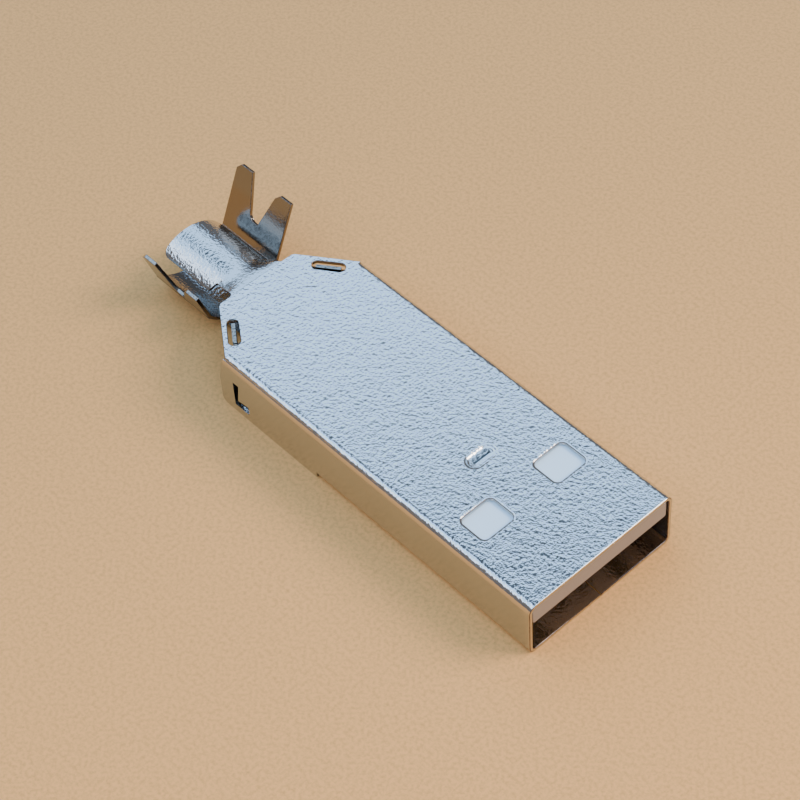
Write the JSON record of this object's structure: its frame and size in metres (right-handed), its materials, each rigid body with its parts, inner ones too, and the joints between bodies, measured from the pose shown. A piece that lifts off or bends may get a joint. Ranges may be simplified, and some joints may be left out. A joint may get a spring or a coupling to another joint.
{
  "type": "usb-a plug",
  "caption": "Bare solder-type cable plug: flat folded metal shell with latch windows, shoulders, an arched tongue over a crimp trough, and a white insulator with contacts.",
  "frame": {"origin": "middle of the plug's box on the plane that it rests on", "axes": "+X out of the mouth along the direction of insertion, +Z out of the face with the retention dimple, +Y to the side of the taller crimp ear"},
  "size_m": [0.0386, 0.012, 0.0066],
  "materials": {
    "shell": "bright nickel plate with a fine matte grain",
    "cover": "smooth nickel plate",
    "plastic": "white moulded thermoplastic",
    "contact": "thin gold flash on brass"
  },
  "bodies": {
    "root": {"upper_shell": "shell", "lower_cover": "cover", "insulator": "plastic", "contact_power": "contact", "contact_ground": "contact", "contact_data_a": "contact", "contact_data_b": "contact"}
  },
  "joints": []
}
